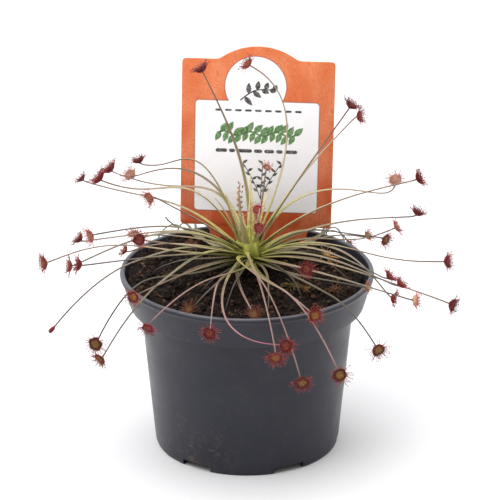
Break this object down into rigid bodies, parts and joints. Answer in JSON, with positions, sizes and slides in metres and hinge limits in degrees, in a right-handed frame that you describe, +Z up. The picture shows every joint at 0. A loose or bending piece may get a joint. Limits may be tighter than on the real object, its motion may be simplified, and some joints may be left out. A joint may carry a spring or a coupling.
{
  "type": "potted carnivorous plant",
  "caption": "Round nursery pot of peat with a sundew: a rosette of long arching stalks ending in round red traps, and an arched plastic plant label behind it.",
  "frame": {"origin": "on the pot's axis, on the surface that its feet stand on; the leaves reach nearly as far on opposite sides, so it is also the middle of the part's underside", "axes": "+Z up out of the pot, -Y the front with the label's printed face towards it, +X to the right seen from the front"},
  "size_m": [0.147, 0.1211, 0.142],
  "materials": {
    "pot_plastic": "satin",
    "peat": "rough",
    "label_plastic": "satin",
    "leaf_stalk": "satin",
    "trap": "wet"
  },
  "bodies": {
    "root": {"pot": "pot_plastic", "soil": "peat", "label": "label_plastic", "rosette": "leaf_stalk", "trap_01": "trap", "trap_02": "trap", "trap_03": "trap", "trap_04": "trap", "trap_05": "trap", "trap_06": "trap", "trap_07": "trap", "trap_08": "trap", "trap_09": "trap", "trap_10": "trap", "trap_11": "trap", "trap_12": "trap", "trap_13": "trap", "trap_14": "trap", "trap_15": "trap", "trap_16": "trap", "trap_17": "trap", "trap_18": "trap", "trap_19": "trap", "trap_20": "trap", "trap_21": "trap", "trap_22": "trap", "trap_23": "trap", "trap_24": "trap", "trap_25": "trap", "trap_26": "trap", "trap_27": "trap", "trap_28": "trap", "trap_29": "trap", "trap_30": "trap", "trap_31": "trap", "trap_32": "trap", "trap_33": "trap", "trap_34": "trap", "trap_35": "trap", "trap_36": "trap", "trap_37": "trap", "trap_38": "trap", "trap_39": "trap", "trap_40": "trap", "trap_41": "trap", "trap_42": "trap", "trap_43": "trap", "trap_44": "trap", "trap_45": "trap", "trap_46": "trap", "trap_47": "trap", "trap_48": "trap", "trap_49": "trap", "trap_50": "trap", "trap_51": "trap", "trap_52": "trap", "trap_53": "trap", "trap_54": "trap", "trap_55": "trap"}
  },
  "joints": []
}
